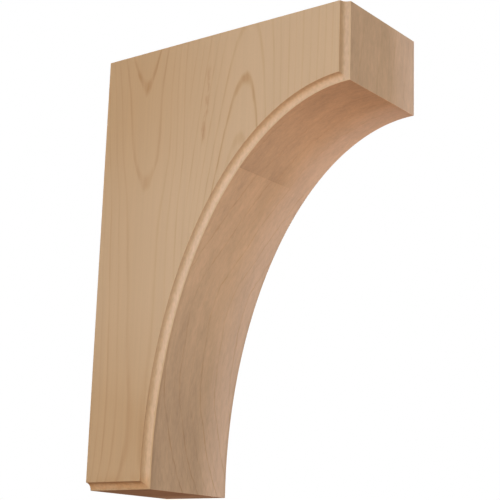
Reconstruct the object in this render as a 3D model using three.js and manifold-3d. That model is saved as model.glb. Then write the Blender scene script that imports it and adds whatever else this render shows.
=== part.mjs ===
// A plain scooped corbel: a thick wooden bracket that carries a shelf, a mantel or the overhang of a worktop.
// It is one piece of wood. Boards are glued side by side into a block, the block is sawn to the outline, and
// a router runs a quarter-round hollow, called a cove, along both sides of its front and bottom edges.
//
// Millimetres. X runs along the wall, Y out of the room into the wall and Z up. The wall is the plane y = 0,
// so the corbel reaches out towards -Y. The origin is the middle of its back.
import * as THREE from "three";
import { mergeVertices } from "three/addons/utils/BufferGeometryUtils.js";
import Module from "manifold-3d";

// Driving dimensions
const WIDTH = 88.9; // along the wall
const PROJECTION = 203.2; // out from the wall, along the top
const HEIGHT = 304.8; // up the wall
const NOSE_HEIGHT = 53.5; // the upright flat at the front, under the shelf
const FOOT_DEPTH = 53; // what is left of the projection at the bottom
const FOOT_RISE = 9; // the short upright run at the foot, below the scoop
const COVE_RADIUS = 5;

// How finely the curves are cut into flats
const SCOOP_STEPS = 56; // along the scoop
const COVE_STEPS = 8; // across each cove, a quarter of a circle

const TOP = HEIGHT / 2;
const BOTTOM = -HEIGHT / 2;

// The scoop is a quarter of an ellipse. Its centre is in the air, straight below the nose.
const SCOOP_RUN = PROJECTION - FOOT_DEPTH;
const SCOOP_RISE = HEIGHT - NOSE_HEIGHT - FOOT_RISE;
const SCOOP_CENTRE = { y: -PROJECTION, z: BOTTOM + FOOT_RISE };
const NOSE_BOTTOM = SCOOP_CENTRE.z + SCOOP_RISE;

// Outlines are drawn flat, with a shape's x as the world's y and its y as the world's z.
// absellipse makes two flats for each of the curve segments that it is asked for.
const CURVE_SEGMENTS = SCOOP_STEPS / 2;

function addScoop(path) {
  return path.absellipse(SCOOP_CENTRE.y, SCOOP_CENTRE.z, SCOOP_RUN, SCOOP_RISE, Math.PI / 2, 0, true);
}

// The block, sawn to the outline that it has seen from the side
function sawnBlock() {
  const outline = new THREE.Shape().moveTo(0, TOP).lineTo(-PROJECTION, TOP).lineTo(-PROJECTION, NOSE_BOTTOM);
  addScoop(outline).lineTo(-FOOT_DEPTH, BOTTOM).lineTo(0, BOTTOM);
  const block = new THREE.ExtrudeGeometry(outline, {
    depth: WIDTH,
    curveSegments: CURVE_SEGMENTS,
    bevelEnabled: false,
  });
  const [alongWall, intoWall, up] = [0, 1, 2].map((axis) => new THREE.Vector3().setComponent(axis, 1));
  block.applyMatrix4(new THREE.Matrix4().makeBasis(intoWall, up, alongWall));
  return block.translate(-WIDTH / 2, 0, 0);
}

// The three edges that are routed. Each runs on past its corners, so that the coves meet in clean mitres.
function routedEdges() {
  const past = COVE_RADIUS;
  const nose = new THREE.Path().moveTo(-PROJECTION, TOP + past).lineTo(-PROJECTION, NOSE_BOTTOM - past);
  const scoop = new THREE.Path().moveTo(-PROJECTION - past, NOSE_BOTTOM).lineTo(-PROJECTION, NOSE_BOTTOM);
  addScoop(scoop).lineTo(-FOOT_DEPTH, BOTTOM - past);
  const foot = new THREE.Path().moveTo(-FOOT_DEPTH - past, BOTTOM).lineTo(past, BOTTOM);
  return [nose, scoop, foot];
}

// What the router takes away along an edge of the side face at x: a round bar whose middle is the edge itself
function coveCutter(edge, x) {
  const places = edge.getPoints(CURVE_SEGMENTS).map((point) => new THREE.Vector3(x, point.x, point.y));
  const route = new THREE.CatmullRomCurve3(places);
  route.getUtoTmapping = (u) => u; // one step of the bar for each of the places, as on the sawn block
  const section = new THREE.Shape().absarc(0, 0, COVE_RADIUS, 0, 2 * Math.PI);
  return new THREE.ExtrudeGeometry(section, {
    extrudePath: route,
    steps: places.length - 1,
    curveSegments: COVE_STEPS * 2,
  });
}

const wasm = await Module();
wasm.setup();

function toSolid(geometry) {
  const bare = geometry.clone();
  bare.deleteAttribute("normal");
  bare.deleteAttribute("uv");
  const merged = mergeVertices(bare);
  const vertProperties = new Float32Array(merged.attributes.position.array);
  const triVerts = new Uint32Array(merged.index.array);
  return new wasm.Manifold(new wasm.Mesh({ numProp: 3, vertProperties, triVerts }));
}

function toGeometry(solid) {
  const mesh = solid.getMesh();
  const geometry = new THREE.BufferGeometry();
  geometry.setAttribute("position", new THREE.BufferAttribute(mesh.vertProperties, 3));
  geometry.setIndex(new THREE.BufferAttribute(mesh.triVerts, 1));
  geometry.computeVertexNormals();
  return geometry;
}

function corbelGeometry() {
  let solid = toSolid(sawnBlock());
  for (const x of [-WIDTH / 2, WIDTH / 2]) {
    for (const edge of routedEdges()) {
      solid = solid.subtract(toSolid(coveCutter(edge, x)));
    }
  }
  return toGeometry(solid);
}

// Pale, close-grained hardwood, sanded and left unfinished
const wood = new THREE.MeshStandardMaterial({ color: 0xc6a57d, roughness: 0.62, metalness: 0 });

const corbel = new THREE.Mesh(corbelGeometry(), wood);
corbel.name = "corbel";

const bracket = new THREE.Group();
bracket.add(corbel);

export default bracket;
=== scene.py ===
# %% [markdown]
# # A scooped wooden corbel
# A corbel is a thick bracket that carries a shelf, a mantel or the overhang of a worktop. This one is
# plain: a block of pale hardwood, sawn to a long scoop, with a small hollow, called a cove, routed along
# both sides of its front. The packed model already has its true size and place. This script rebuilds the
# same form with finer curves and softened edges, and gives it wood that runs through the whole block.

# %% The packed model
import math

import bpy
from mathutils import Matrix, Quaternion, Vector


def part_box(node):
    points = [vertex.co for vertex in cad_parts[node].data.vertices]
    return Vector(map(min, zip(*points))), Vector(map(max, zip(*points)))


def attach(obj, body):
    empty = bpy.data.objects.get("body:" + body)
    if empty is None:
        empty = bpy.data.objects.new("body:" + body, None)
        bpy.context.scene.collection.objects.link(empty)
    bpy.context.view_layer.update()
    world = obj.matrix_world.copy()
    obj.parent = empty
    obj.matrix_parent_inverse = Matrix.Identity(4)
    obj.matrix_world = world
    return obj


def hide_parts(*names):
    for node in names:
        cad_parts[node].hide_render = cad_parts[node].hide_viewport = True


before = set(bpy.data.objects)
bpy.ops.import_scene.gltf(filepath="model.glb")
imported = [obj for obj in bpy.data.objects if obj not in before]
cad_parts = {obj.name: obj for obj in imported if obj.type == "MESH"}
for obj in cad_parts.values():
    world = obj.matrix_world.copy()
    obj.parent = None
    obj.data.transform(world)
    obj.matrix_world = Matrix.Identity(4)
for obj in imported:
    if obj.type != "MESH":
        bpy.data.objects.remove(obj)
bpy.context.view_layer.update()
node_low, node_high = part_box("corbel")
print("packed nodes:", list(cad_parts))

# %% [markdown]
# ## Sizes
# The overall sizes come from the packed node, so that the two can't drift apart. The rest are the maker's
# own sizes, in metres. X runs along the wall, Y into the wall and Z up, and the wall is the plane y = 0.

# %% Sizes
MM = 0.001
WIDTH = node_high.x - node_low.x
PROJECTION = node_high.y - node_low.y
HEIGHT = node_high.z - node_low.z
TOP = node_high.z
BOTTOM = node_low.z
NOSE_HEIGHT = 53.5 * MM
FOOT_DEPTH = 53 * MM
FOOT_RISE = 9 * MM
COVE_RADIUS = 5 * MM

SCOOP_RUN = PROJECTION - FOOT_DEPTH
SCOOP_RISE = HEIGHT - NOSE_HEIGHT - FOOT_RISE
SCOOP_Y = -PROJECTION
SCOOP_Z = BOTTOM + FOOT_RISE
print("scoop, millimetres:", round(SCOOP_RUN / MM, 1), "by", round(SCOOP_RISE / MM, 1))

# %% [markdown]
# ## The outline
# Seen from the side, the corbel is a rectangle with a quarter of an ellipse sawn out of it. The cove is a
# quarter circle whose centre runs along the arris, the sharp edge between two faces. So at each depth
# below the side face the outline is the same outline, drawn in a little. That could be cut with a
# boolean, but lofting from one outline to the next gives clean rows of four-sided faces and sharp mitres
# at the corners. So the outline is a function of how far it is drawn in.

# %% The pieces of one outline
SCOOP_STEPS = 160
STRAIGHT_STEP = 8 * MM
CLOSE_ENOUGH = 1e-9


def scoop_point(angle, inset):
    """A point of the scoop, as (y, z). Angle 0 is the foot and a right angle the nose."""
    y = SCOOP_RUN * math.cos(angle)
    z = SCOOP_RISE * math.sin(angle)
    into_wood = Vector((y / SCOOP_RUN**2, z / SCOOP_RISE**2)).normalized()
    return Vector((SCOOP_Y + y, SCOOP_Z + z)) + inset * into_wood


def mitre_angle(inset):
    """The angle at which the drawn-in scoop meets the drawn-in nose, found by halving."""
    low, high = 0, math.pi / 2
    while high - low > CLOSE_ENOUGH:
        middle = (low + high) / 2
        if scoop_point(middle, inset).x > SCOOP_Y + inset:
            low = middle
        else:
            high = middle
    return low


def straight(start, end, length):
    """A straight piece. Its count of points comes from length alone, so that every slice has as many."""
    count = max(1, round(length / STRAIGHT_STEP))
    return [start.lerp(end, step / count) for step in range(count + 1)]


highest = math.degrees(mitre_angle(COVE_RADIUS))
print("drawn in by the cove's radius, the scoop meets the nose at", round(highest, 1), "degrees")

# %% [markdown]
# Nobody leaves a sawn edge sharp: a pass of sandpaper rounds it, and the rounded edge catches a thin line
# of light. Here each corner of the outline becomes a small curve between the points where the rounding
# starts.

# %% One whole outline
ARRIS = 0.3 * MM
ARRIS_STEPS = 3


def rounded(pieces):
    """The closed outline of pieces that share their end points, with each shared corner rounded."""
    points = []
    for piece, following in zip(pieces, pieces[1:] + pieces[:1]):
        corner = piece[-1]
        arrive = corner + ARRIS * (piece[-2] - corner).normalized()
        leave = corner + ARRIS * (following[1] - corner).normalized()
        points += piece[1:-1]
        for step in range(ARRIS_STEPS + 1):
            share = step / ARRIS_STEPS
            points.append(arrive.lerp(corner, share).lerp(corner.lerp(leave, share), share))
    return points


def outline(inset, ease):
    """The outline as (y, z) points. Its routed edges are drawn in by inset, its top and back by ease."""
    first = mitre_angle(inset)
    scoop = [scoop_point(first * (1 - step / SCOOP_STEPS), inset) for step in range(SCOOP_STEPS + 1)]
    back_top = Vector((-ease, TOP - ease))
    nose_top = Vector((SCOOP_Y + inset, TOP - ease))
    foot_front = Vector((-FOOT_DEPTH + inset, BOTTOM + inset))
    foot_back = Vector((-ease, BOTTOM + inset))
    pieces = [
        straight(back_top, nose_top, PROJECTION),
        straight(nose_top, scoop[0], NOSE_HEIGHT),
        scoop[:-1] + straight(scoop[-1], foot_front, FOOT_RISE),
        straight(foot_front, foot_back, FOOT_DEPTH),
        straight(foot_back, back_top, HEIGHT),
    ]
    return rounded(pieces)


print("points in an outline:", len(outline(0, 0)))

# %% [markdown]
# ## The block
# The slices stand one behind another across the width. They follow the cove's own section: a rounded
# arris at the side face, the quarter circle, and a rounded arris where it meets the scoop. Each arris is
# an arc that touches both of its surfaces, so its centre lies one arris radius outside the cove's circle.

# %% The slices
COVE_STEPS = 14
MIDDLE_STEPS = 10
ARRIS_CENTRE = math.sqrt((COVE_RADIUS + ARRIS) ** 2 - ARRIS**2)


def cove_section():
    """(depth, inset) points, from the side face round the cove to the scoop."""
    meeting = math.asin(ARRIS / (COVE_RADIUS + ARRIS))
    turn = math.pi / 2 - meeting
    first, last = [], []
    for step in range(ARRIS_STEPS):
        angle = turn * step / ARRIS_STEPS
        across = ARRIS * math.sin(angle)
        along = ARRIS * math.cos(angle)
        first.append((ARRIS - along, ARRIS_CENTRE - across))
        last.append((ARRIS_CENTRE - across, ARRIS - along))
    cove = []
    for step in range(COVE_STEPS + 1):
        angle = meeting + (math.pi / 2 - 2 * meeting) * step / COVE_STEPS
        cove.append((COVE_RADIUS * math.sin(angle), COVE_RADIUS * math.cos(angle)))
    return first + cove + last[::-1]


def ease_at(depth):
    """How far the rounded top and back edges are drawn in at a depth below the side face."""
    if depth >= ARRIS:
        return 0
    return ARRIS - math.sqrt(ARRIS**2 - (ARRIS - depth) ** 2)


def slices():
    """(x, inset, ease) of every slice, from the -X side to the +X side."""
    near = [(depth, inset, ease_at(depth)) for depth, inset in cove_section()]
    start = near[-1][0]
    flat_width = WIDTH - 2 * start
    flat = [(start + flat_width * step / MIDDLE_STEPS, 0, 0) for step in range(1, MIDDLE_STEPS)]
    far = [(WIDTH - depth, inset, ease) for depth, inset, ease in reversed(near)]
    return [(depth - WIDTH / 2, inset, ease) for depth, inset, ease in near + flat + far]


print("slices:", len(slices()))

# %% [markdown]
# Rows of quads join the slices, and one face closes each side. With smooth shading, a normal at the edge
# of a large flat face would lean towards the small rounded one beside it. Weighting the normals by area
# keeps the flats flat, so that only the arris itself turns the light.

# %% The mesh
def corbel_mesh():
    """The block as a mesh, with a row of quads between each slice and the next."""
    rows = [[(x, point.x, point.y) for point in outline(inset, ease)] for x, inset, ease in slices()]
    around = len(rows[0])
    last = (len(rows) - 1) * around
    faces = [tuple(range(around)), tuple(reversed(range(last, last + around)))]
    for row in range(len(rows) - 1):
        for step in range(around):
            here = row * around + step
            after = row * around + (step + 1) % around
            faces.append((here, here + around, after + around, after))
    mesh = bpy.data.meshes.new("corbel_block")
    mesh.from_pydata([place for row in rows for place in row], [], faces)
    mesh.validate()
    mesh.polygons.foreach_set("use_smooth", [True] * len(mesh.polygons))
    return mesh


block = bpy.data.objects.new("corbel_block", corbel_mesh())
bpy.context.scene.collection.objects.link(block)
weighted = block.modifiers.new("flat faces stay flat", "WEIGHTED_NORMAL")
weighted.mode = "FACE_AREA"

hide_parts("corbel")
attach(block, "root")
print("faces in the block:", len(block.data.polygons))

# %% [markdown]
# ## The wood
# A photo of wood wrapped round the block would tear at every edge, and a board doesn't work like that:
# its growth rings run right through it, and each cut only shows where they are. So the wood here is
# worked out in space, from the place of each point inside the block, and the lines agree round every
# corner. That takes many sums, so they are written as Python. A wire is the output of a node, and a sum
# of wires adds the Math nodes that work it out.

# %% Sums on wires
class Wire:
    """The output of a shader node, which can be used in sums."""

    def __init__(self, socket):
        self.socket = socket

    @classmethod
    def node(cls, tree, kind, settings, inputs, output=0):
        """Add a node, with its settings first and then the numbers or wires of its sockets."""
        node = tree.nodes.new(kind)
        for name, setting in settings.items():
            if name == "stops":
                cls.set_stops(node.color_ramp.elements, setting)
            elif name == "curve":
                cls.set_curve(node.mapping, setting)
            elif name == "blend":
                node.color_ramp.interpolation = setting
            else:
                setattr(node, name, setting)
        for name, value in inputs.items():
            if isinstance(value, Wire):
                tree.links.new(value.socket, node.inputs[name])
            else:
                node.inputs[name].default_value = value
        return cls(node.outputs[output])

    @staticmethod
    def set_stops(elements, stops):
        """Give a ramp its (position, level) stops, in greys."""
        while len(elements) < len(stops):
            elements.new(1)
        for element, (position, level) in zip(elements, stops):
            element.position = position
            element.color = (level, level, level, 1)

    @staticmethod
    def set_curve(mapping, points):
        """Give a curve its points, each from 0 to 1 both ways."""
        curve = mapping.curves[0]
        while len(curve.points) < len(points):
            curve.points.new(1, 1)
        for point, place in zip(curve.points, points):
            point.location = place
        mapping.update()

    def math(self, operation, *others):
        """A Math node on this wire and other wires or numbers."""
        inputs = dict(enumerate((self,) + others))
        return Wire.node(self.socket.id_data, "ShaderNodeMath", {"operation": operation}, inputs)

    def __add__(self, other):
        return self.math("ADD", other)

    __radd__ = __add__

    def __mul__(self, other):
        return self.math("MULTIPLY", other)

    __rmul__ = __mul__

    def __sub__(self, other):
        return self.math("SUBTRACT", other)

    def __rsub__(self, other):
        return self * -1 + other

    def __truediv__(self, other):
        return self.math("DIVIDE", other)

    def __abs__(self):
        return self.math("ABSOLUTE")

    def above(self, edge, width):
        """0 below an edge and 1 above it, changing softly over a width."""
        settings = {"interpolation_type": "SMOOTHSTEP"}
        inputs = {"Value": self, "From Min": edge - width / 2, "From Max": edge + width / 2}
        return Wire.node(self.socket.id_data, "ShaderNodeMapRange", settings, inputs)

    def below(self, edge, width):
        """1 below an edge and 0 above it, changing softly over a width."""
        return 1 - self.above(edge, width)


special = [name for name, thing in vars(Wire).items() if name.startswith("__") and callable(thing)]
print("how a wire is made, and the sums it can do:", special)

# %% [markdown]
# The block is glued up from several boards, but it gets one material, because their borders are places
# inside it like any other. A new material comes with a Principled shader, in which all the wires will
# end.

# %% The material
wood = bpy.data.materials.new("wood")
wood.use_nodes = True
tree = wood.node_tree
print("nodes in a new material:", [node.name for node in tree.nodes])

# %% [markdown]
# Object coordinates are places inside the block, which stay with it when it moves. They are turned into
# millimetres here, because the rings and joints were measured in them. What belongs to one part of the
# block alone is picked out by soft steps. A step is a pair of numbers, the place of its middle and the
# width that it is spread over, and below each pair has a name of its own.

# %% Places in the block
SIDE = WIDTH / 2 / MM
SHARP = 0.1

place = Wire.node(
    tree,
    "ShaderNodeVectorMath",
    {"operation": "SCALE"},
    {0: Wire.node(tree, "ShaderNodeTexCoord", {}, {}, "Object"), "Scale": 1 / MM},
)


def split(vector):
    """The X, Y and Z of a vector, as three wires out of one node."""
    x = Wire.node(tree, "ShaderNodeSeparateXYZ", {}, {"Vector": vector})
    return [Wire(output) for output in x.socket.node.outputs]


along, deep, high = split(place)
outwards = -1 * deep
depth = SIDE - abs(along)
far_side = along.above(0, SHARP)
print("from the middle of the block to its side, millimetres:", round(SIDE, 2))

# %% [markdown]
# Wood is never even, so noise is needed all along, drawn out in the direction of the fibres. A pattern
# can be shifted, so that no two fall on the same places. Blender's noise runs from 0 to 1, and taking its
# middle away makes it push both ways.

# %% Noise along the grain
NOISE_MIDDLE = 0.5


def grain(name, across, lengthwise, detail=1, shift=0, inwards=None):
    """Noise from -0.5 to 0.5, drawn out along the grain, sized in millimetres. Inwards is along Y."""
    stretched = Wire.node(
        tree,
        "ShaderNodeVectorMath",
        {"operation": "MULTIPLY_ADD", "label": name},
        {0: place, 1: (1 / across, 1 / (inwards or across), 1 / lengthwise), 2: (shift, shift, shift)},
    )
    settings = {"noise_dimensions": "3D", "normalize": True}
    inputs = {"Vector": stretched, "Scale": 1, "Detail": detail}
    return Wire.node(tree, "ShaderNodeTexNoise", settings, inputs) - NOISE_MIDDLE


slow_wobble = grain("slow wobble of the rings", 14, 60)
quick_wobble = grain("quick wobble of the rings", 3, 14)
print("nodes so far:", len(tree.nodes))

# %% [markdown]
# Many things change smoothly along the block in a way that no formula gives. A Float Curve node draws a
# smooth curve through a few points, but works from 0 to 1 both ways. This helper takes points in any
# units.

# %% Curves through points
def read_off(wire, points):
    """A smooth curve through (from, to) points, read off at a wire."""
    starts = [point[0] for point in points]
    ends = [point[1] for point in points]
    start, run = min(starts), max(starts) - min(starts)
    low, rise = min(ends), max(ends) - min(ends)
    curve = [((a - start) / run, (b - low) / rise) for a, b in points]
    share = (wire - start) / run
    return Wire.node(tree, "ShaderNodeFloatCurve", {"curve": curve}, {"Value": share}) * rise + low


print("heights that curves are read off at, millimetres:", round(BOTTOM / MM, 1), "to", round(TOP / MM, 1))

# %% [markdown]
# ### The face boards
# The side shows flat-sawn boards. Their rings are nearly cylinders round the pith, the middle of the
# trunk, which was never in the board: it ran one to three centimetres away from the face. A trunk isn't
# straight, so the pith comes nearer and goes further off, and the saw cuts each ring in a long curve with
# a pointed tip. Giving the path of the pith is enough to draw every one of those curves. Two boards are
# joined edge to edge, the front one upside down. Each path is a row of (Z, Y, distance in from the face)
# points, in millimetres. The far side's boards were cut a little further along the same tree, so its
# curves are shifted.

# %% The path of the pith
REAR_PITH = [
    (-152, -35.5, 32),
    (-110, -41, 33.8),
    (-50, -41.5, 32.5),
    (20, -39.5, 31.5),
    (55, -40, 29.3),
    (80, -39, 26.8),
    (120, -37, 25.3),
    (135, -36.5, 23.9),
    (152, -36, 21.4),
]
FRONT_PITH = [
    (-152, -112, 10),
    (10, -116, 11.5),
    (30, -117.5, 14),
    (60, -119.5, 18.7),
    (90, -122, 22.1),
    (152, -126.5, 28.7),
]
FAR_SIDE_SHIFT = 9


def from_pith(path, height):
    """The distance of each point of the wood from the pith of a face board."""
    sideways = deep - read_off(height, [(z, y) for z, y, off in path])
    inwards = read_off(height, [(z, off) for z, y, off in path]) - depth
    return (sideways * sideways + inwards * inwards).math("SQRT")


ring_height = high + far_side * FAR_SIDE_SHIFT
rear_radius = from_pith(REAR_PITH, ring_height)
front_radius = from_pith(FRONT_PITH, ring_height)
for board_name, path in (("rear", REAR_PITH), ("front", FRONT_PITH)):
    offs = [off for z, y, off in path]
    print(board_name, "board's pith, millimetres from its face:", min(offs), "to", max(offs))

# %% [markdown]
# Each year's growth ends in a thin, darker line of late wood. In this pale wood its edges are soft, and
# the wood before it darkens slowly. So a ring is a soft line, with a faint shade that grows towards it.
# Some years were harder than others, so each line has a strength of its own, which a ramp of flat steps
# holds.

# %% One line of late wood
LINE_SHIFT = 0.08
LINE_START = (0.8, 0.16)
LINE_END = (0.96, 0.08)
LINE_PART = 0.8
SHADE_POWER = 3


def late_wood(years, strengths):
    """A dark line just before each whole year, as strong as its entry in strengths."""
    shifted = years - LINE_SHIFT
    spread = len(strengths) - 1
    stops = [(number / spread, strength) for number, strength in enumerate(strengths[1:])]
    settings = {"blend": "CONSTANT", "stops": stops}
    ramp = Wire.node(tree, "ShaderNodeValToRGB", settings, {"Fac": shifted / spread})
    share = shifted.math("FRACT")
    line = share.above(*LINE_START) * share.below(*LINE_END)
    return (line * LINE_PART + share.math("POWER", SHADE_POWER) * (1 - LINE_PART)) * ramp


print("a line is", round(LINE_END[0] - LINE_START[0], 2), "of its year")

# %% [markdown]
# The rings of the face boards are told by the radius at which each of them ends. Real rings waver, so a
# slow and a quick noise push them about by part of a millimetre. The lines show best on the face itself,
# and are fainter just below it, in the cove.

# %% The rings of the face boards
RING_ENDS = [10, 15.7, 20.5, 25, 29.4, 34.4, 38.4, 43.3, 47.7, 52.7, 58, *range(63, 90, 5)]
RING_STRENGTHS = [0.2, 0.25, 0.4, 0.85, 0.45, 0.3, 0.25, 0.35, 0.2, 0.3, 0.2, 0.3, 0.2, 0.25, 0.3, 0.2, 0.2]
FACE_JOINT = (-77, 5)
EVEN_LINES = 0.8
UNEVEN_LINES = 2
BELOW_FACE = (0.8, 1.2)
FADE_BELOW_FACE = 0.75


def wavy(wire, slow, quick):
    """A wire that wavers by slow and quick millimetres, as rings do."""
    return wire + slow_wobble * slow + quick_wobble * quick


ring_table = list(zip(RING_ENDS, range(len(RING_ENDS))))
rear_years = read_off(wavy(rear_radius, slow=0.8, quick=0.4), ring_table)
front_years = read_off(wavy(front_radius, slow=0.8, quick=0.4), ring_table)
at_rear = deep.above(*FACE_JOINT)
rear_lines = late_wood(rear_years, RING_STRENGTHS) * at_rear
front_lines = late_wood(front_years, RING_STRENGTHS) * (1 - at_rear)
uneven = EVEN_LINES + grain("uneven lines", 4, 40, shift=41) * UNEVEN_LINES
face_lines = (rear_lines + front_lines) * uneven * (1 - depth.above(*BELOW_FACE) * FADE_BELOW_FACE)
print("rings across the face boards:", len(RING_ENDS))

# %% [markdown]
# ### The core
# Between the two face boards is the core, whose boards stand with their rings nearly parallel to the
# sides. The scoop cuts through them at a slope that keeps changing, so their lines lean one way at the
# top and the other way at the foot. A row of (height, drift across) points, in millimetres, gives that
# lean. There is one joint across the core, where a front piece was glued on to make it deep enough. Its
# rings lean evenly.

# %% The core's rings
FACE_BOARD = 5.2
CORE_JOINT = -117.5
CORE_DRIFT = [
    (-152, 33),
    (-130, 21),
    (-104, 11),
    (-94, 6.4),
    (-71, 2),
    (-50, 0),
    (-25, -2),
    (0, 4),
    (18, 11),
    (160, 40),
]
CORE_RING = 5.37
CORE_STRENGTHS = [0.15, 0.1, 0.5, 0.1, 0.15, 0.5, 0.1, 0.2, 0.1, 0.5, 0.15, 0.1, 0.5, 0.15, 0.1, 0.5, 0.1]
CORE_START = 4.5
FRONT_START = 7.4
FRONT_LEAN = 0.18
FRONT_UPRIGHT_AT = 120
FRONT_STRENGTH = 0.6

in_core = depth.above(FACE_BOARD, SHARP)
in_front = deep.below(CORE_JOINT, SHARP)


def core_lines(across, start):
    """The lines of evenly spaced rings, counted across the core from a start in millimetres."""
    years = (across + start) / CORE_RING + len(CORE_STRENGTHS) / 2
    return late_wood(years, CORE_STRENGTHS)


rear_across = wavy(along - read_off(high, CORE_DRIFT), slow=3, quick=2)
front_across = wavy(along - (high - FRONT_UPRIGHT_AT) * FRONT_LEAN, slow=5, quick=3)
rear_core = core_lines(rear_across, CORE_START) * (1 - in_front)
front_core = core_lines(front_across, FRONT_START) * in_front * FRONT_STRENGTH
all_lines = (rear_core + front_core) * uneven * in_core + face_lines * (1 - in_core)
print("core:", round(2 * (SIDE - FACE_BOARD), 1), "mm between face boards of", FACE_BOARD)

# %% [markdown]
# ### Streaks and pores
# Between the rings, wood is full of vessels that run the same way. From a metre off they read as faint
# streaks, and close up as short dark dashes. Where the saw crosses them at a slope, as it does in the
# scoop, they spread into clouds, mottling and flecks. Noise that is stretched along the grain gives all
# of these.

# %% Streaks and pores
PORE = (0.16, 0.12)

broad = grain("broad bands", 16, 260, shift=3)
streaks = grain("streaks", 1.6, 120, detail=2, shift=7)
fine_streaks = grain("fine streaks", 0.45, 30, detail=2, shift=11)
clouds = grain("clouds", 11, 45, shift=13, inwards=30)
mottle = grain("mottle", 2.6, 10, detail=2, shift=17, inwards=6)
flecks = grain("flecks", 1.1, 4, shift=19, inwards=2)
pores = grain("pores", 0.16, 2.6, shift=23).above(*PORE)
print("noise patterns so far:", sum(node.type == "TEX_NOISE" for node in tree.nodes))

# %% [markdown]
# ### A mineral streak
# The near side has a thin brown streak, which minerals left in the growing tree. It follows the grain,
# but breaks and jumps as it goes, and leans a little out from the wall on its way down. The wood round it
# is stained, so the rings are darker there, and they are darker towards the foot too.

# %% The mineral streak
MINERAL_DEEP = -92.7
MINERAL_TOP = 128
MINERAL_LEAN = 0.06
MINERAL_JUMP = 6
MINERAL_START = (76, 6)
MINERAL_END = (MINERAL_TOP, 10)
MINERAL_HALF_WIDTH = (0.9, 1.6)
MINERAL_STAIN = (4, 5)
MINERAL_BREAK = (-0.05, 0.3)
DARKER_BELOW = (-90, 60)
DARKER_AT_FOOT = 0.5

jump = grain("jumps of the mineral streak", 6, 12, shift=31) * MINERAL_JUMP
off_streak = abs(deep - MINERAL_DEEP - (MINERAL_TOP - high) * MINERAL_LEAN + jump)
in_streak_run = high.above(*MINERAL_START) * high.below(*MINERAL_END)
stained = off_streak.below(*MINERAL_STAIN) * in_streak_run * (1 - in_core) * (1 - far_side)
unbroken = grain("breaks in the mineral streak", 3, 6, shift=37).above(*MINERAL_BREAK)
mineral = off_streak.below(*MINERAL_HALF_WIDTH) * stained * unbroken
lines = all_lines * (1 + stained + high.below(*DARKER_BELOW) * DARKER_AT_FOOT)
print("the mineral streak is", MINERAL_TOP - MINERAL_START[0], "mm long")

# %% [markdown]
# ### End grain
# Where a cut crosses the fibres instead of running along them, light sinks into their open ends, and the
# wood turns redder and a little darker. The scoop goes from long grain at the foot to end grain under the
# nose. How squarely a surface crosses the fibres is the square of the upright part of its normal. The top
# and the underside are crossed squarely by the saw, and are darkest. That last darkening is partly their
# end grain and partly painted shade, set by how dark the shaded underside looks, and the top gets it too.

# %% End grain
AT_END = (0.15, 0.2)
SQUARE_CUT = (0.9, 0.1)

normal = Wire.node(tree, "ShaderNodeTexCoord", {}, {}, "Normal")
sideways, _, upright = split(normal)
end_grain = upright * upright
off_ends = TOP / MM - abs(high)
sawn_end = off_ends.below(*AT_END) * end_grain.above(*SQUARE_CUT)
halfway = math.pi / 4
crossing = (scoop_point(halfway, 1) - scoop_point(halfway, 0)).y
print("end grain halfway round the scoop:", round(crossing**2, 2))

# %% [markdown]
# ### The cove
# Painted shade darkens the corner where the cove starts, where the hollow faces away from the side and is
# shaded, and it lingers at the nose. A brown band of painted shade runs on the scoop beside the cove,
# strong at the foot and gone near the top. The rest of the cove, which turns to face the side, is painted
# palest, a painted highlight. How far a point is round the cove is told by how far its normal has turned
# to the side, and a little noise makes the border between the tones uneven.

# %% The cove's painted shade and highlight
SKIN = 0.1
COVE_MM = COVE_RADIUS / MM
UNEVEN_COVE_TONES = 0.35
SHADE_ROUND_COVE = [(0, 1), (0.2, 0.85), (0.45, 0.5), (0.7, 0.08), (0.8, 0), (1, 0)]
HIGHLIGHT_ROUND_COVE = [(0, 0), (0.45, 0), (0.7, 0.55), (0.87, 1), (1, 0.7)]
NOSE_FADE = 0.5
NOSE_SHADE = 0.35
BAND_DEPTH = (7, 3)
BAND_FADE = (-10, 180)
OFF_THE_WALL = (30, 10)
BAND_SHADE = 0.6

cove_depths = depth.above(SKIN, SHARP) * depth.below(COVE_MM - SKIN, SHARP)
in_cove = cove_depths * off_ends.above(SKIN, SHARP) * outwards.above(SKIN, SHARP)
at_nose = in_cove * outwards.above(PROJECTION / MM - COVE_MM, NOSE_FADE)
turned = abs(sideways) + grain("uneven cutting", 2, 5, detail=2, shift=53) * UNEVEN_COVE_TONES
# Painted shade: a band on the scoop beside the cove, strongest at the foot and gone near the top.
painted_band = depth.below(*BAND_DEPTH) * high.below(*BAND_FADE) * outwards.above(*OFF_THE_WALL) * in_core
# Painted shade, brown: in the cove's inner corner, at the nose's cove and in the band beside the cove.
painted_cove_shade = in_cove * read_off(turned, SHADE_ROUND_COVE) + at_nose * NOSE_SHADE + painted_band * BAND_SHADE
# Painted highlight: the cove is painted paler where it turns to face the side.
painted_highlight = in_cove * read_off(turned, HIGHLIGHT_ROUND_COVE)
print("the bearing's track is", round(BAND_DEPTH[0] - COVE_MM, 1), "mm wide beside the cove")

# %% [markdown]
# ### Tones of the core, and painted light
# In the core, the last board on the far side is paler. There is a dark glue line where the front piece
# starts, and the wood just beyond it is darker, both in patches. Behind the joint a row of (height, shade)
# points makes the core darker towards the foot, which is painted shade, and paler up the scoop, where the
# board is paler. The whole core is also painted lighter towards the far side and darker towards the near
# side, which is painted light.

# %% Tones and painted light of the core
PALE_BOARD = (18, 32)
PALE_EDGE_WAVER = 8
JOINT_PATCH = (0, 0.25)
GLUE_HALF_WIDTH = (0.25, 0.4)
GLUE_STRENGTH = 0.3
BEYOND_JOINT = (7, 14)
BEYOND_STRENGTH = 0.22
BEYOND_PATCHY = 0.7
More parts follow.
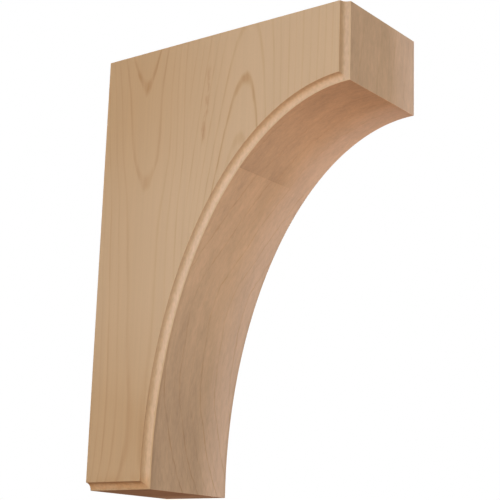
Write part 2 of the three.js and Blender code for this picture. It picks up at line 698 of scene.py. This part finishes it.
# painted shade towards the foot, and a paler board higher up
CORE_TONE_AND_SHADE = [
    (-152, -0.11),
    (-120, -0.12),
    (-90, -0.085),
    (-40, 0.015),
    (15, 0.065),
    (50, 0.05),
    (152, 0.05),
]
ACROSS_CORE = 0.05
ACROSS_FRONT = 0.045

pale_board = (along + slow_wobble * PALE_EDGE_WAVER).above(*PALE_BOARD)
darker_boards = in_core * (1 - pale_board)
patchy = grain("patches at the joint", 9, 30, shift=43).above(*JOINT_PATCH)
glue_line = abs(deep - CORE_JOINT).below(*GLUE_HALF_WIDTH) * patchy * GLUE_STRENGTH
beyond_patches = (1 - BEYOND_PATCHY) + patchy * BEYOND_PATCHY
beyond = (CORE_JOINT - deep).below(*BEYOND_JOINT) * in_front * beyond_patches * BEYOND_STRENGTH
joint = (glue_line + beyond) * darker_boards
# Painted shade: the core darker towards the foot; higher up, a paler board.
core_tone_and_painted_shade = read_off(high, CORE_TONE_AND_SHADE) * darker_boards * (1 - in_front)
# Painted light: the core lighter towards the far side and darker towards the near side.
painted_light_across = along / SIDE * (ACROSS_CORE + in_front * ACROSS_FRONT) * in_core
print("the pale board is", round(SIDE - FACE_BOARD - PALE_BOARD[0], 1), "mm thick")

# %% [markdown]
# The faces get an amber painted shade towards the wall and towards both ends, most of all at the foot,
# where the light falls off. The upper part of the cove gets it too. Right at the foot there are also
# stronger, orange patches.

# %% Painted shade on the faces, and patches at the foot
TOWARDS_WALL = (-45, 70)
WALL_SHADE = 0.45
TOWARDS_ENDS = (75, 110)
ENDS_FADE_OUTWARDS = (-100, 100)
ENDS_SHADE = 0.65
TOWARDS_FOOT = (-100, 60)
LOW_SHADE = 0.3
UP_THE_COVE = (65, 60)
UPPER_COVE_SHADE = 0.5
COVE_SPARED = 0.3
FOOT_PATCH = (0, 0.3)
FOOT_BAND = (BOTTOM / MM + 7, 12)
COVE_AT_FOOT = 0.7
PATCHES_AT_FOOT = 0.5

# Painted shade, amber: the faces darker towards the wall, the ends and the foot, and up the cove.
wall_painted_shade = deep.above(*TOWARDS_WALL) * WALL_SHADE
ends_painted_shade = abs(high).above(*TOWARDS_ENDS) * deep.above(*ENDS_FADE_OUTWARDS) * ENDS_SHADE
low_painted_shade = high.below(*TOWARDS_FOOT) * LOW_SHADE
upper_cove_painted_shade = (in_cove - at_nose) * high.above(*UP_THE_COVE) * UPPER_COVE_SHADE
face_painted_shade = (wall_painted_shade + ends_painted_shade + low_painted_shade) * (1 - in_core)
warm_painted_shade = face_painted_shade * (1 - in_cove * COVE_SPARED) + upper_cove_painted_shade
foot_patches = grain("patches at the foot", 9, 14, detail=2, shift=47).above(*FOOT_PATCH)
foot_tone = in_cove * COVE_AT_FOOT + foot_patches * PATCHES_AT_FOOT
foot_amber = high.below(*FOOT_BAND) * (1 - in_core) * foot_tone
print("nodes so far:", len(tree.nodes))

# %% [markdown]
# ### Colour
# The woods aren't all alike. The face boards are yellower than the core, the core's last board on the far
# side is paler, and the outer part of the cove is painted palest, a painted highlight. So the colour starts
# as a blend of four woods.
# Each of the things above then tints it, by multiplying it by a filter. Multiplying keeps the hue right,
# whatever the order.

# %% The woods and the filters
FACE_WOOD = (0.605, 0.41, 0.248, 1)
CORE_WOOD = (0.62, 0.40, 0.243, 1)
PALE_WOOD = (0.72, 0.485, 0.335, 1)
# the paler wood of the painted highlight in the cove
COVE_HIGHLIGHT_WOOD = (0.68, 0.475, 0.32, 1)
LATE_WOOD = (0.80, 0.68, 0.52, 1)
END_GRAIN = (1.035, 0.79, 0.64, 1)
# partly the sawn ends' own darker colour, partly painted shade
SAWN_END_AND_SHADE = (0.83, 0.70, 0.585, 1)
MINERAL = (0.90, 0.83, 0.77, 1)
JOINT = (0.80, 0.72, 0.64, 1)
# the tint of the amber painted shade
WARM_SHADE_TINT = (0.90, 0.83, 0.72, 1)
FOOT_AMBER = (0.90, 0.76, 0.60, 1)
# the tint of the painted shade in and beside the cove
COVE_SHADE_TINT = (0.80, 0.73, 0.65, 1)
print("fresh wood against face wood:", round(sum(COVE_HIGHLIGHT_WOOD[:3]) / sum(FACE_WOOD[:3]), 2))

# %% [markdown]
# The Mix node has sockets for numbers, vectors and colours under the same names, so its colour sockets
# are picked by number. It goes from one wood to another by mixing, and tints them by multiplying. The
# rings show more on the sawn ends, and the pale board and the cove are spared a part of the end grain's
# red.

# %% Blends and tints
FACTOR, FIRST_COLOUR, SECOND_COLOUR = 0, 6, 7
COLOUR_RESULT = 2
LINES_ON_ENDS = 1.2
PALE_END_SPARED = 0.35
COVE_END_SPARED = 0.4


def mix(kind, amount, first, second):
    """Two colours, mixed by a kind of the Mix node's own as far as amount says."""
    settings = {"data_type": "RGBA", "blend_type": kind}
    inputs = {FACTOR: amount, FIRST_COLOUR: first, SECOND_COLOUR: second}
    return Wire.node(tree, "ShaderNodeMix", settings, inputs, COLOUR_RESULT)


board = mix("MIX", pale_board, CORE_WOOD, PALE_WOOD)
# the cove's outer part mixes towards a paler wood, a painted highlight
colour = mix("MIX", in_core, mix("MIX", painted_highlight, FACE_WOOD, COVE_HIGHLIGHT_WOOD), board)
spared = pale_board * in_core * PALE_END_SPARED + in_cove * COVE_END_SPARED
tints = [
    (lines * (1 + sawn_end * LINES_ON_ENDS), LATE_WOOD),
    (end_grain * (1 - spared), END_GRAIN),
    # sawn ends: partly end grain, partly painted shade
    (sawn_end, SAWN_END_AND_SHADE),
    (mineral, MINERAL),
    # amber painted shade towards the wall, the ends and the foot
    (warm_painted_shade, WARM_SHADE_TINT),
    (foot_amber, FOOT_AMBER),
    # painted shade in and beside the cove
    (painted_cove_shade, COVE_SHADE_TINT),
    (joint, JOINT),
]
for amount, filter_colour in tints:
    colour = mix("MULTIPLY", amount, colour, filter_colour)
print("tints:", len(tints))

# %% [markdown]
# The last step only makes the wood a little lighter or darker, by the streaks, the clouds and the flecks,
# and by the painted shade and painted light of the core and of the nose's cove. Each pattern has a number
# beside it, which says how strongly it counts, and less than nothing makes it darker.

# %% Light and dark patterns
def add_up(start, parts):
    """A number plus each pattern, as strongly as the number beside it says."""
    total = start
    for pattern, strength in parts:
        total = total + pattern * strength
    return total


patterns = [
    (broad, 0.07),
    (streaks, 0.09),
    (fine_streaks, 0.05),
    (pores, -0.05),
    (clouds * in_core, 0.25),
    (mottle * in_core, 0.22),
    (flecks * in_core, 0.17),
    (flecks * in_cove, 0.3),
    (flecks * sawn_end, 0.15),
    # painted shade at the nose's cove
    (at_nose, -0.04),
    # painted shade towards the foot, and a paler board higher up
    (core_tone_and_painted_shade, 1),
    # painted light: lighter towards the far side
    (painted_light_across, 1),
]
shade = add_up(1, patterns)
colour = Wire.node(tree, "ShaderNodeVectorMath", {"operation": "SCALE"}, {0: colour, "Scale": shade})
print("patterns in the shade:", len(patterns))

# %% [markdown]
# ### Sheen and relief
# Sanded bare wood is dull, a little less so along the dense late wood. The relief is tiny: open pores and
# raised grain, under a tenth of a millimetre, enough to break up a highlight.

# %% Roughness, relief and the finished wood
BARE_WOOD = 0.58
RELIEF_HEIGHT = 0.1 * MM
RELIEF_STRENGTH = 0.25
SPECULAR = 0.35

roughness = add_up(BARE_WOOD, [(fine_streaks, 0.12), (lines, -0.06), (end_grain, 0.1)])
relief = add_up(0, [(fine_streaks, 0.6), (lines, 0.3), (pores, -0.8)])
bump_inputs = {"Strength": RELIEF_STRENGTH, "Distance": RELIEF_HEIGHT, "Height": relief}
bump = Wire.node(tree, "ShaderNodeBump", {}, bump_inputs)
shader = tree.nodes["Principled BSDF"]
tree.links.new(colour.socket, shader.inputs["Base Color"])
tree.links.new(roughness.socket, shader.inputs["Roughness"])
tree.links.new(bump.socket, shader.inputs["Normal"])
shader.inputs["Specular IOR Level"].default_value = SPECULAR
block.data.materials.append(wood)
print("nodes in the wood:", len(tree.nodes))

# %% [markdown]
# ## The camera
# The picture is taken from in front of the corbel, to its left and a little below its foot, so the camera
# looks up and sees the underside. A long lens from about a metre away keeps the upright edges nearly
# parallel. Two angles say from which side and from how far below the camera looks, and a third rolls it a
# little.

# %% The camera
CAMERA_PLACE = Vector((-0.71373, -0.64602, -0.21456))
CAMERA_AZIMUTH = math.radians(-52.490)
CAMERA_ELEVATION = math.radians(-14.043)
CAMERA_ROLL = math.radians(1.8175)
LENS = 98.23
SENSOR_WIDTH = 36

towards_camera = Vector((
    math.sin(CAMERA_AZIMUTH) * math.cos(CAMERA_ELEVATION),
    -math.cos(CAMERA_AZIMUTH) * math.cos(CAMERA_ELEVATION),
    math.sin(CAMERA_ELEVATION),
))
roll = Quaternion((0, 0, 1), CAMERA_ROLL)
camera_data = bpy.data.cameras.new("camera")
camera_data.sensor_width = SENSOR_WIDTH
camera_data.lens = LENS
camera = bpy.data.objects.new("camera", camera_data)
camera.rotation_mode = "QUATERNION"
camera.rotation_quaternion = (-towards_camera).to_track_quat("-Z", "Y") @ roll
camera.location = CAMERA_PLACE
bpy.context.scene.collection.objects.link(camera)
bpy.context.scene.camera = camera
print("camera to corbel, metres:", round(CAMERA_PLACE.length, 2))

# %% [markdown]
# ## The floor
# A corbel hangs on a wall, so the floor is well below it, out of the picture. It is pale, and sends a
# soft light up into the scoop. The lights are aimed at the corbel and leave the floor dim, so it glows a
# little, for the camera alone: a light path node tells the camera's rays from the rest.

# %% The floor
FLOOR_HEIGHT = -1.4
FLOOR_REACH = 8
FLOOR_GLOW = 0.7
FLOOR_COLOUR = (0.86, 0.85, 0.83, 1)
FLOOR_ROUGHNESS = 0.9


def make_floor():
    """A large pale square, which reaches as far each way."""
    corners = [(-1, -1), (1, -1), (1, 1), (-1, 1)]
    places = [(x * FLOOR_REACH, y * FLOOR_REACH, FLOOR_HEIGHT) for x, y in corners]
    mesh = bpy.data.meshes.new("floor")
    mesh.from_pydata(places, [], [(0, 1, 2, 3)])
    floor = bpy.data.objects.new("floor", mesh)
    bpy.context.scene.collection.objects.link(floor)
    paint = bpy.data.materials.new("pale floor")
    paint.use_nodes = True
    shader = paint.node_tree.nodes["Principled BSDF"]
    shader.inputs["Base Color"].default_value = FLOOR_COLOUR
    shader.inputs["Roughness"].default_value = FLOOR_ROUGHNESS
    seen = Wire.node(paint.node_tree, "ShaderNodeLightPath", {}, {}, "Is Camera Ray")
    paint.node_tree.links.new((seen * FLOOR_GLOW).socket, shader.inputs["Emission Color"])
    shader.inputs["Emission Strength"].default_value = 1
    mesh.materials.append(paint)
    return floor


make_floor()
print("from the foot down to the floor, metres:", round(BOTTOM - FLOOR_HEIGHT, 2))

# %% [markdown]
# ## The light
# Each soft box has a place, a point that it is aimed at, its size and its power in watts. The first five
# make the picture. The last two light the far side and the back, which the picture doesn't show. Each of
# those has the spread of its beam too, in degrees. It is narrow, so that little of their light reaches
# the floor and is sent up into the scoop.

# %% The soft boxes
SOFT_BOXES = {
    "left": ((-1.6, 0.55, 0.15), (0, -0.1, 0), (1.0, 1.0), 13.6),
    "near left": ((-0.9, -0.4, 0.0), (0, -0.12, 0), (0.5, 0.5), 2.6),
    "front": ((-0.1, -1.1, -0.01), (0, 0, -0.01), (0.9, 0.26), 3.45),
    "low front": ((-0.2, -1.0, -0.75), (0, -0.15, 0.1), (0.6, 0.6), 3.6),
    "above": ((0, 0, 2.0), (0, 0, 0), (2.0, 2.0), 20),
    "right": ((1.5, 0.5, 0.5), (0, -0.05, 0), (0.8, 0.6), 2.1, 60),
    "behind": ((0.55, 1.5, 0.5), (0, 0, 0), (0.8, 0.6), 1.7, 60),
}


def soft_box(name, place, aim, size, watts, spread=180):
    """Hang a rectangular light, aimed at a point and unseen by the camera."""
    data = bpy.data.lights.new(name, "AREA")
    data.shape = "RECTANGLE"
    data.size, data.size_y = size
    data.energy = watts
    data.spread = math.radians(spread)
    box = bpy.data.objects.new(name, data)
    box.location = place
    box.rotation_mode = "QUATERNION"
    box.rotation_quaternion = (Vector(aim) - Vector(place)).to_track_quat("-Z", "Y")
    box.visible_camera = False
    bpy.context.scene.collection.objects.link(box)


for box_name, facts in SOFT_BOXES.items():
    soft_box(box_name, *facts)
print("soft boxes:", len(SOFT_BOXES))

# %% [markdown]
# The background is plain white where the camera sees it, but a white world all round would light every
# face alike and hide the form. So a light path node makes it dim for everything but the camera. The
# Standard view transform shows white as white, and leaves the woods' colours as they were mixed.

# %% The background
WORLD_LIGHT = 0.06

world = bpy.data.worlds.new("world")
bpy.context.scene.world = world
world.use_nodes = True
seen = Wire.node(world.node_tree, "ShaderNodeLightPath", {}, {}, "Is Camera Ray")
strength = seen * (1 - WORLD_LIGHT) + WORLD_LIGHT
background = world.node_tree.nodes["Background"]
background.inputs["Color"].default_value = (1, 1, 1, 1)
world.node_tree.links.new(strength.socket, background.inputs["Strength"])
bpy.context.scene.view_settings.view_transform = "Standard"
print("the world lights the corbel at", WORLD_LIGHT, "of what the camera sees")

# %% [markdown]
# ## The end
